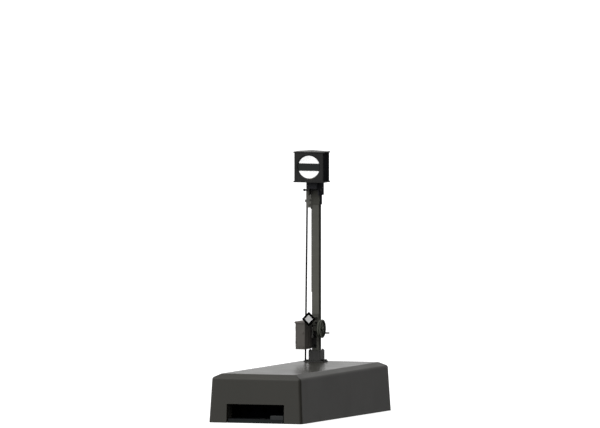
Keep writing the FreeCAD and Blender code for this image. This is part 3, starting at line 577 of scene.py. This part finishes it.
def prism(work, outline, offset):
    """Adds a closed prism whose first face is the outline and whose second is the outline moved by offset."""
    near = [work.verts.new(corner) for corner in outline]
    far = [work.verts.new(corner + offset) for corner in outline]
    work.faces.new(near)
    work.faces.new(list(reversed(far)))
    for index, corner in enumerate(near):
        after = (index + 1) % len(near)
        work.faces.new([near[after], corner, far[index], far[after]])


# ---- rods ----

ROD_TIP_MM = 1.05
ROD_TAPER_MM = 0.07
ROD_TIP_RADIUS_MM = 0.22
ROD_TIP_CHAMFER_MM = 0.05
COUPLER_NECKS = (0.36, 0.64)
COUPLER_NECK_HALF = 0.06
COUPLER_NECK_RADIUS = 0.86


def rod_profile(node, length, radius):
    """A plain bar: the signal rod ends in a thinner tip, and the coupler has two necks."""
    profile = bar_profile(length, radius)
    if node == "signal_rod":
        tip_start = length - ROD_TIP_MM
        profile[-3:] = [(tip_start - ROD_TAPER_MM, radius), (tip_start, ROD_TIP_RADIUS_MM),
                        (length - ROD_TIP_CHAMFER_MM, ROD_TIP_RADIUS_MM),
                        (length, ROD_TIP_RADIUS_MM - ROD_TIP_CHAMFER_MM), (length, 0)]
    if node == "rod_coupler":
        necks = []
        for share in COUPLER_NECKS:
            necks += [(length * (share - COUPLER_NECK_HALF), radius),
                      (length * share, radius * COUPLER_NECK_RADIUS),
                      (length * (share + COUPLER_NECK_HALF), radius)]
        profile[4:4] = necks
    return profile


def make_rods():
    """Signal rod, drive wire and their coupler, smooth all round, along the line that the rod slides on."""
    slide = [joint for joint in frame["joints"] if joint["name"] == "rod_slide"][0]
    upward = -Vector(slide["axis"]).normalized()
    for node in ("signal_rod", "drive_wire", "rod_coupler"):
        centre, size = middle(node)
        length = size.z / upward.z / MM
        radius = size.y / 2 / MM
        work = bmesh.new()
        turn(work, centre - upward * length / 2 * MM, upward, rod_profile(node, length, radius), 32)
        finish_piece(to_object(f"{node}_turned", work), node)


# ---- disc, its bar and the lantern's front ----

DISC_STEPS = 128
DISC_DISH_MM = 0.03
DISC_LIP_MM = 0.25
DISC_SLOPE_MM = 0.1
DISC_EDGE_MM = 0.1
BLACK_EDGE_MM = 0.2
BLACK_EDGE_HEIGHT = 1.05
BAR_INSET_MM = 0.02
BAR_END_STEPS = 12
RIM_GAP_MM = 0.1
RIM_FACE_MM = 0.08
# distance behind the rim's face, and distance outside its bore
RIM_LIP_MM = ((0.03, 0.08), (0.08, 0.02), (0.16, 0.0))
WINDOW_GAP_MM = 0.02
WINDOW_STEPS = 120


def disc_place():
    """The disc's middle, and its radius in millimetres."""
    centre, size = middle("disc")
    return centre, size.x / 2 / MM


def bar_half_height():
    low, high = corners("disc_bar")
    return (high.z - low.z) / 2


def make_disc():
    """White disc with a shallow dish and a rolled edge, which is black beside the bar's ends."""
    centre, radius = disc_place()
    depth = middle("disc")[1].y / MM
    edge = DISC_EDGE_MM
    bulge = edge * CHAMFER_BULGE
    lip = radius - DISC_LIP_MM
    profile = [(DISC_DISH_MM, 0), (DISC_DISH_MM, lip - DISC_SLOPE_MM), (0, lip), (0, radius - edge),
               (bulge, radius - bulge), (edge, radius), (depth - edge, radius), (depth, radius - edge),
               (depth, 0)]
    disc = turned("disc", 1, profile, DISC_STEPS)
    rim_start = (radius - BLACK_EDGE_MM) * MM
    half_height = bar_half_height() * BLACK_EDGE_HEIGHT
    black = []
    for face in disc.data.polygons:
        across = face.center.x - centre.x
        height = face.center.z - centre.z
        if Vector((across, height)).length > rim_start and abs(height) < half_height:
            black.append(face)
    second_paint(disc, MATERIALS["disc_black"], black)


def make_disc_bar():
    """Black bar across the disc, with ends that follow the disc's edge."""
    centre, radius = disc_place()
    low, high = corners("disc_bar")
    reach = (radius - BAR_INSET_MM) * MM
    sweep = math.asin(bar_half_height() / reach)
    outline = []
    for end in (0.0, math.pi):
        for step in range(BAR_END_STEPS + 1):
            angle = end - sweep + 2 * sweep * step / BAR_END_STEPS
            outline.append(Vector((centre.x + reach * math.cos(angle), low.y,
                                   centre.z + reach * math.sin(angle))))
    work = bmesh.new()
    prism(work, outline, Vector((0, high.y - low.y, 0)))
    finish_piece(to_object("disc_bar_cut", work, 0.02), "disc_bar")


def rim_radius():
    low, high = corners("lantern_rim")
    return (high.x - low.x) / 2 / MM


def make_lantern_rim():
    """Ring round the disc, with a rounded lip."""
    centre, radius = disc_place()
    low, high = corners("lantern_rim")
    depth = (high.y - low.y) / MM
    outer = rim_radius()
    inner = radius + RIM_GAP_MM
    lip = [(behind, inner + outside) for behind, outside in RIM_LIP_MM]
    profile = [(0, outer), (0, outer - RIM_FACE_MM)] + lip + [(depth, inner), (depth, outer)]
    turned("lantern_rim", 1, profile, DISC_STEPS, True, centre)


def make_lantern_front():
    """Front panel with its round window."""
    low, high = corners("lantern_front")
    centre = (low + high) / 2
    half_x = (high.x - low.x) / 2
    half_z = (high.z - low.z) / 2
    window = (rim_radius() + WINDOW_GAP_MM) * MM
    corner_angle = math.atan2(half_z, half_x)
    angles = [2 * math.pi * step / WINDOW_STEPS for step in range(WINDOW_STEPS)]
    angles += [corner_angle, math.pi - corner_angle, math.pi + corner_angle, 2 * math.pi - corner_angle]
    work = bmesh.new()
    loops = [[], [], [], []]
    for angle in sorted(angles):
        along_x, along_z = math.cos(angle), math.sin(angle)
        reach = 1 / max(abs(along_x) / half_x, abs(along_z) / half_z)
        for loop, radius, y in zip(loops, (reach, window, window, reach), (low.y, low.y, high.y, high.y)):
            loop.append(work.verts.new((centre.x + along_x * radius, y, centre.z + along_z * radius)))
    count = len(angles)
    for first, second in zip(loops, loops[1:] + loops[:1]):
        for step in range(count):
            after = (step + 1) % count
            work.faces.new([first[step], first[after], second[after], second[step]])
    finish_piece(to_object("lantern_front_cut", work, 0.05), "lantern_front")


# ---- pulley ----

PULLEY_STEPS = 72
HUB_PROUD_MM = 0.2
HUB_RADIUS_MM = 0.7
HUB_BORE_MM = 0.33
HUB_EDGE_MM = 0.1
FLANGE_MM = 0.2
FLANGE_EDGE_MM = 0.06
RIM_THICKNESS_MM = 0.5
GROOVE_DEPTH_MM = 0.3
GROOVE_HALF_WIDTH_MM = 0.06
WEB_MM = 0.16
WEB_INNER_MM = 0.5
WEB_OVERLAP_MM = 0.45
RIBS = 5
RIB_DEPTH_MM = 0.4
RIB_FOOT_MM = 0.6
RIB_FOOT_HALF_MM = 0.24
RIB_TIP_HALF_MM = 0.14
PULLEY_FACE_TILT = 0.4
PIN_RADIUS_MM = 0.24
PIN_COLLAR_RADIUS_MM = 0.3
PIN_CHAMFER_MM = 0.06
# end of the collar's face, of its slope and of the fillet, with the radius there
PIN_COLLAR_MM = ((0.15, 0.3), (0.2, 0.25), (0.22, 0.24))


def pulley_rim(width, radius):
    """The outline of the pulley's rim, with the wire's groove."""
    inner = radius - RIM_THICKNESS_MM
    bottom = radius - GROOVE_DEPTH_MM
    edge = FLANGE_EDGE_MM
    return [(0, inner), (0, radius - edge), (edge, radius), (FLANGE_MM, radius),
            (width / 2 - GROOVE_HALF_WIDTH_MM, bottom), (width / 2 + GROOVE_HALF_WIDTH_MM, bottom),
            (width - FLANGE_MM, radius), (width - edge, radius), (width, radius - edge), (width, inner)]


def make_pulley():
    """Wire pulley: grooved rim, thin web, five ribs and a hub; faces not turned to +X get a darker paint,
    painted shade.
    """
    low, high = corners("pulley_wheel")
    hub = middle("pulley_shaft")[0]
    axis = Vector((1, 0, 0))
    radius = (high.y - low.y) / 2 / MM
    hub_length = (high.x - low.x) / MM
    rim_width = hub_length - 2 * HUB_PROUD_MM
    rim_start = Vector((low.x + HUB_PROUD_MM * MM, hub.y, hub.z))
    web_radius = radius - WEB_OVERLAP_MM
    work = bmesh.new()
    turn(work, rim_start, axis, pulley_rim(rim_width, radius), PULLEY_STEPS, ring=True)
    web = [(0, WEB_INNER_MM), (0, web_radius), (WEB_MM, web_radius), (WEB_MM, WEB_INNER_MM)]
    turn(work, rim_start + axis * (rim_width - WEB_MM) / 2 * MM, axis, web, PULLEY_STEPS, ring=True)
    shoulder = HUB_RADIUS_MM - HUB_EDGE_MM
    hub_outline = [(0, HUB_BORE_MM), (0, shoulder), (HUB_EDGE_MM, HUB_RADIUS_MM),
                   (hub_length - HUB_EDGE_MM, HUB_RADIUS_MM), (hub_length, shoulder),
                   (hub_length, HUB_BORE_MM)]
    turn(work, Vector((low.x, hub.y, hub.z)), axis, hub_outline, 48, ring=True)

    root = rim_start + axis * (rim_width - RIB_DEPTH_MM) / 2 * MM
    rib = ((RIB_FOOT_MM, RIB_FOOT_HALF_MM), (web_radius, RIB_TIP_HALF_MM),
           (web_radius, -RIB_TIP_HALF_MM), (RIB_FOOT_MM, -RIB_FOOT_HALF_MM))
    for step in range(RIBS):
        angle = 2 * math.pi * step / RIBS
        outward = Vector((0, math.sin(angle), math.cos(angle)))
        across = Vector((0, math.cos(angle), -math.sin(angle)))
        prism(work, [root + outward * reach * MM + across * side * MM for reach, side in rib],
              axis * RIB_DEPTH_MM * MM)
    wheel = finish_piece(to_object("pulley_wheel_turned", work), "pulley_wheel")
    # faces not turned to +X, the rim among them, get the darker paint: painted shade
    shaded_wheel_faces = [face for face in wheel.data.polygons if face.normal.x <= PULLEY_FACE_TILT]
    second_paint(wheel, SPECIAL["wheel_shaded_copy"], shaded_wheel_faces)


def make_crank_pin():
    """The pin that the pulley's lever works, with a collar at its foot."""
    length = middle("pulley_crank_pin")[1].x / MM
    profile = [(0, 0), (0, PIN_COLLAR_RADIUS_MM), *PIN_COLLAR_MM, (length - PIN_CHAMFER_MM, PIN_RADIUS_MM),
               (length, PIN_RADIUS_MM - PIN_CHAMFER_MM), (length, 0)]
    turned("pulley_crank_pin", 0, profile, 32)


# ---- clamp bolt, knob and grommet ----

BOLT_RADIUS_MM = 0.25
BOLT_CHAMFER_MM = 0.05
BOLT_HEAD_MM = 0.42
BOLT_HEAD_RADIUS_MM = 0.5
# distance back from the bolt's end, and the radius there
BOLT_DOME_MM = ((0.2, 0.5), (0.1, 0.44), (0.03, 0.3), (0.0, 0.12))
KNOB_BORE_MM = 0.27
# shares of the knob's length and of its radius
KNOB_OUTLINE = ((0.0, 0.75), (0.18, 0.95), (0.4, 1.0), (0.65, 1.0), (0.85, 0.9), (1.0, 0.7))
GROMMET_BORE_MM = 0.36
GROMMET_NECK_MM = 0.58
GROMMET_EDGE_MM = (0.06, 0.02)
# distance below the grommet's top, and distance in from the edge of its lip
GROMMET_LIP_MM = ((0.25, 0.03), (0.16, 0.0), (0.06, 0.08), (0.0, 0.2))


def make_clamp_bolt():
    """Clamp bolt with a domed head."""
    length = middle("clamp_bolt")[1].x / MM
    head = length - BOLT_HEAD_MM
    dome = [(length - back, radius) for back, radius in BOLT_DOME_MM]
    profile = [(0, 0), (0, BOLT_RADIUS_MM - BOLT_CHAMFER_MM), (BOLT_CHAMFER_MM, BOLT_RADIUS_MM),
               (head, BOLT_RADIUS_MM), (head, BOLT_HEAD_RADIUS_MM), *dome, (length, 0)]
    turned("clamp_bolt", 0, profile)


def make_clamp_knob():
    """The knob on the clamp bolt's other end."""
    size = middle("clamp_knob")[1]
    length = size.x / MM
    radius = size.y / 2 / MM
    outline = [(length * along, radius * out) for along, out in KNOB_OUTLINE]
    turned("clamp_knob", 0, [(0, KNOB_BORE_MM), *outline, (length, KNOB_BORE_MM)], ring=True)


def make_grommet():
    """Rubber grommet with a rolled lip where the wire enters the housing."""
    size = middle("rod_grommet")[1]
    length = size.z / MM
    lip = size.x / 2 / MM
    lip_start = length - GROMMET_LIP_MM[0][0]
    rolled = [(length - below, lip - inward) for below, inward in GROMMET_LIP_MM]
    drop, flare = GROMMET_EDGE_MM
    profile = [(0, GROMMET_BORE_MM), (0, GROMMET_NECK_MM), (lip_start, GROMMET_NECK_MM), *rolled,
               (length - drop, GROMMET_BORE_MM + flare)]
    turned("rod_grommet", 2, profile, ring=True)


# ---- windings and lamp ----

COIL_PITCH_MM = 17.0
COIL_BORE_MM = 2.65
WIRE_TURN_MM = 0.4
# share of a turn's width, and depth below the wire's crest
WIRE_ROUND = ((0.0, 0.14), (0.25, 0.03), (0.5, 0.0), (0.75, 0.03))
GLASS_MM = 0.08
BULB_FOOT_MM = 0.15
BULB_FOOT_SHARE = 0.8
BULB_ARC_STEPS = 10
FILAMENT_STEPS = 60
FILAMENT_TURNS = 6
FILAMENT_HALF_SPAN_MM = 0.45
FILAMENT_COIL_MM = 0.1
FILAMENT_RADIUS_MM = 0.03
LEAD_MM = 1.0


def make_windings():
    """The two coils, turn beside turn of enamelled wire."""
    low = corners("coil_windings")[0]
    centre, size = middle("coil_windings")
    outer = size.x / 2 / MM
    length = size.y / MM - COIL_PITCH_MM
    turns = int(length / WIRE_TURN_MM)
    pitch = length / turns
    profile = [(0, COIL_BORE_MM)]
    for index in range(turns):
        profile += [(pitch * (index + share), outer - depth) for share, depth in WIRE_ROUND]
    profile += [(length, outer - WIRE_ROUND[0][1]), (length, COIL_BORE_MM)]
    work = bmesh.new()
    for offset in (0.0, COIL_PITCH_MM * MM):
        turn(work, Vector((centre.x, low.y + offset, centre.z)), (0, 1, 0), profile, 48, ring=True)
    finish_piece(to_object("coil_windings_wound", work), "coil_windings")


def make_lamp():
    """Small hollow glass bulb."""
    low = corners("lamp_bulb")[0]
    centre, size = middle("lamp_bulb")
    radius = size.x / 2 / MM
    straight = size.z / MM - radius
    foot_radius = radius * BULB_FOOT_SHARE
    outside = [(0, 0), (0, foot_radius), (BULB_FOOT_MM, radius)]
    inside = [(GLASS_MM, 0), (GLASS_MM, foot_radius - GLASS_MM)]
    for step in range(BULB_ARC_STEPS + 1):
        angle = math.pi / 2 * step / BULB_ARC_STEPS
        for outline, reach in ((outside, radius), (inside, radius - GLASS_MM)):
            outline.append((straight + reach * math.sin(angle), reach * math.cos(angle)))
    work = bmesh.new()
    for outline in (outside, inside):
        turn(work, Vector((centre.x, centre.y, low.z)), (0, 0, 1), outline, 40)
    finish_piece(to_object("lamp_bulb_blown", work), "lamp_bulb")


def make_filament():
    """Coiled filament on two leads, inside the bulb."""
    centre = middle("lamp_bulb")[0]
    half_span = FILAMENT_HALF_SPAN_MM * MM
    coil = FILAMENT_COIL_MM * MM
    points = [Vector((-half_span, 0, -LEAD_MM * MM))]
    for step in range(FILAMENT_STEPS + 1):
        share = step / FILAMENT_STEPS
        angle = 2 * math.pi * FILAMENT_TURNS * share
        points.append(Vector((half_span * (2 * share - 1), coil * math.cos(angle), coil * math.sin(angle))))
    points.append(Vector((half_span, 0, -LEAD_MM * MM)))
    curve = bpy.data.curves.new("lamp_filament", "CURVE")
    curve.dimensions = "3D"
    curve.bevel_depth = FILAMENT_RADIUS_MM * MM
    spline = curve.splines.new("POLY")
    spline.points.add(len(points) - 1)
    for target, place in zip(spline.points, points):
        target.co = (*(centre + place), 1)
    shape = link(bpy.data.objects.new("filament_curve", curve))
    mesh = bpy.data.meshes.new_from_object(shape)
    bpy.data.objects.remove(shape)
    filament = link(bpy.data.objects.new("lamp_filament", mesh))
    dress(filament, "lamp_holder")
    mesh.materials.clear()
    mesh.materials.append(SPECIAL["filament"])


# ---- hinges and ears, which have no CAD node of their own ----

HINGE_HEIGHTS = (0.2, 0.8)
BARREL_MM = 0.8
BARREL_RADIUS_MM = 0.12
CHEEK_MM = 0.35
EAR_THICKNESS_MM = 0.2
EAR_BELOW_BOLT_MM = 1.85
EAR_ABOVE_BOLT_MM = 0.45
EAR_INTO_BOX_MM = 0.5
EAR_UNDER_LID_MM = 0.1


def make_door_hinges():
    """Two hinge barrels on the telephone box's door."""
    low, high = corners("phone_door")
    work = bmesh.new()
    for share in HINGE_HEIGHTS:
        start = Vector((low.x + BARREL_RADIUS_MM * MM, low.y + 2 * BARREL_RADIUS_MM * MM,
                        low.z + (high.z - low.z) * share - BARREL_MM / 2 * MM))
        turn(work, start, (0, 0, 1), bar_profile(BARREL_MM, BARREL_RADIUS_MM), 20)
    dress(to_object("phone_door_hinges", work), "phone_door")


def make_ear(node, low, high):
    """A thin upright plate between two corners, which looks like a node but replaces nothing."""
    outline = [Vector((low[0], low[1], low[2])), Vector((high[0], low[1], low[2])),
               Vector((high[0], low[1], high[2])), Vector((low[0], low[1], high[2]))]
    work = bmesh.new()
    prism(work, outline, Vector((0, high[1] - low[1], 0)))
    dress(to_object(f"{node}_ear", work, 0.03), node)


def make_guide_ear():
    """Closes the narrow slit between the left cheek and the mast; it takes the rod guide's paint with its
    painted light.
    """
    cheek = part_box("neck_bracket")[0][0] + CHEEK_MM * MM
    mast_left, mast_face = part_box("mast")[0][0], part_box("mast")[0][1]
    bolt_height = middle("clamp_bolt")[0].z
    make_ear("rod_guide", (cheek, mast_face, bolt_height - EAR_BELOW_BOLT_MM * MM),
             (mast_left, mast_face + EAR_THICKNESS_MM * MM, bolt_height + EAR_ABOVE_BOLT_MM * MM))


def make_bracket_shade_plate():
    """Dark plate that closes the narrow slit between the telephone box and the mast, above the box's bracket:
    a dark sheet that paints the shade between the box and the mast.
    """
    bracket_low, bracket_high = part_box("phone_bracket")
    box_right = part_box("phone_box")[1][0] - EAR_INTO_BOX_MM * MM
    sign_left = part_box("sign_bracket")[0][0]
    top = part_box("phone_lid")[1][2] - EAR_UNDER_LID_MM * MM
    make_ear("phone_bracket", (box_right, bracket_low[1], bracket_high[2]),
             (sign_left, bracket_high[1], top))


make_rods()
make_guide_ear()
make_bracket_shade_plate()
make_disc()
make_disc_bar()
make_lantern_rim()
make_lantern_front()
make_pulley()
make_crank_pin()
make_clamp_bolt()
make_clamp_knob()
make_grommet()
make_windings()
make_lamp()
make_filament()
make_door_hinges()

# straight round nodes, with the index of the axis that they lie along
STRAIGHT_BARS = {
    "plunger_core": 1, "push_rod": 1, "rocker_shaft": 0, "disc_shaft": 1, "pulley_shaft": 0, "lamp_holder": 2,
}
for bar_node, direction in STRAIGHT_BARS.items():
    axis_bar(bar_node, direction)

BUILT_BY_HAND = {
    "signal_rod", "drive_wire", "rod_coupler", "disc", "disc_bar", "lantern_rim", "lantern_front",
    "pulley_wheel", "pulley_crank_pin", "clamp_bolt", "clamp_knob", "rod_grommet", "coil_windings",
    "lamp_bulb", *STRAIGHT_BARS,
}
for cad_node in sorted(frame["nodes"]):
    if cad_node not in BUILT_BY_HAND:
        softened(cad_node)


# ---- floor, light and camera ----

FLOOR_GAP_MM = 0.02
FLOOR_GREY = 0.5
FLOOR_GLOW = 0.82


def make_floor():
    """Pale floor that glows. It casts nothing on the pieces, neither light nor shadow nor reflection."""
    mesh = bpy.data.meshes.new("floor")
    half = FLOOR_HALF_SIZE
    corner_places = [(-half, -half, 0), (half, -half, 0), (half, half, 0), (-half, half, 0)]
    mesh.from_pydata(corner_places, [], [(0, 1, 2, 3)])
    floor = link(bpy.data.objects.new("floor", mesh))
    floor.location.z = -FLOOR_GAP_MM * MM
    floor.visible_glossy = False
    floor.visible_diffuse = False
    floor.visible_shadow = False
    paint = Paint("floor_white", 0.9)
    paint.set("Specular IOR Level", 0.0)
    paint.set("Base Color", (FLOOR_GREY, FLOOR_GREY, FLOOR_GREY, 1))
    paint.set("Emission Color", (1, 1, 1, 1))
    paint.set("Emission Strength", FLOOR_GLOW)
    mesh.materials.append(paint.material)


class Sky:
    """A studio's light as soft lobes round the object."""

    def __init__(self):
        self.world = bpy.data.worlds.new("studio")
        self.world.use_nodes = True
        self.tree = self.world.node_tree
        coord = self.tree.nodes.new("ShaderNodeTexCoord")
        self.direction = coord.outputs["Generated"]

    def node(self, kind, operation, *inputs):
        """Adds a maths node whose inputs are plain values or other nodes' outputs."""
        node = self.tree.nodes.new(kind)
        node.operation = operation
        for socket, value in zip(node.inputs, inputs):
            if isinstance(value, (int, float, tuple)):
                socket.default_value = value
            else:
                self.tree.links.new(value, socket)
        return node

    def calc(self, operation, first, second):
        return self.node("ShaderNodeMath", operation, first, second).outputs["Value"]

    def lobe(self, towards, power, strength):
        """Light that comes from one side and falls away smoothly."""
        unit = tuple(Vector(towards).normalized())
        facing = self.node("ShaderNodeVectorMath", "DOT_PRODUCT", self.direction, unit).outputs["Value"]
        lit_side = self.calc("MAXIMUM", facing, 0.0)
        return self.calc("MULTIPLY", self.calc("POWER", lit_side, power), strength)

    def ramp(self, start, end, low, high):
        """low below one height in the sky, and high above another."""
        split = self.tree.nodes.new("ShaderNodeSeparateXYZ")
        self.tree.links.new(self.direction, split.inputs["Vector"])
        ramp = self.tree.nodes.new("ShaderNodeMapRange")
        for name, value in (("From Min", start), ("From Max", end), ("To Min", low), ("To Max", high)):
            ramp.inputs[name].default_value = value
        self.tree.links.new(split.outputs["Z"], ramp.inputs["Value"])
        return ramp.outputs["Result"]


AMBIENT = 0.10
# where each light comes from, how narrow it is, and its strength
KEY_LIGHT = ((-0.42, -0.66, 0.62), 2.0, 1.75)
TOP_LIGHT = ((0.0, 0.0, 1.0), 1.0, 0.38)
BACK_LIGHT = ((-0.45, 0.88, 0.0), 4.0, 1.36)
# heights in the sky between which a light changes, and its strength below and above them
BACK_LIGHT_RAMP = (0.10, 0.32, 1.0, 0.25)
HORIZON_RAMP = (-0.22, 0.02, 0.4, 1.0)


def make_light():
    """Soft key from the front left, a low glow from behind, some light from above and little from below."""
    sky = Sky()
    total = sky.calc("MULTIPLY", sky.lobe(*BACK_LIGHT), sky.ramp(*BACK_LIGHT_RAMP))
    total = sky.calc("ADD", total, AMBIENT)
    for light in (KEY_LIGHT, TOP_LIGHT):
        total = sky.calc("ADD", sky.lobe(*light), total)
    strength = sky.calc("MULTIPLY", total, sky.ramp(*HORIZON_RAMP))
    background = sky.tree.nodes["Background"]
    sky.tree.links.new(strength, background.inputs["Strength"])
    background.inputs["Color"].default_value = (1.0, 1.0, 1.0, 1.0)
    bpy.context.scene.world = sky.world


def make_camera():
    """Parallel view from the front right, a little from above, aimed off the base's near corner."""
    data = bpy.data.cameras.new("camera")
    data.type = "ORTHO"
    data.ortho_scale = VIEW_WIDTH
    data.clip_start = 0.01
    data.clip_end = 20.0
    camera = link(bpy.data.objects.new("camera", data))
    level = math.cos(CAMERA_ELEVATION)
    back = Vector((math.sin(CAMERA_AZIMUTH) * level, -math.cos(CAMERA_AZIMUTH) * level,
                   math.sin(CAMERA_ELEVATION)))
    right = Vector((math.cos(CAMERA_AZIMUTH), math.sin(CAMERA_AZIMUTH), 0.0))
    up = back.cross(right)
    low, high = corners("base_housing")
    aim = Vector((high.x, low.y, low.z)) + up * AIM_ABOVE_CORNER - right * AIM_LEFT_OF_CORNER
    camera.location = aim + back * CAMERA_DISTANCE
    camera.rotation_euler = back.to_track_quat("Z", "Y").to_euler()
    bpy.context.scene.camera = camera


make_floor()
make_light()
make_camera()
bpy.context.scene.view_settings.view_transform = "Standard"
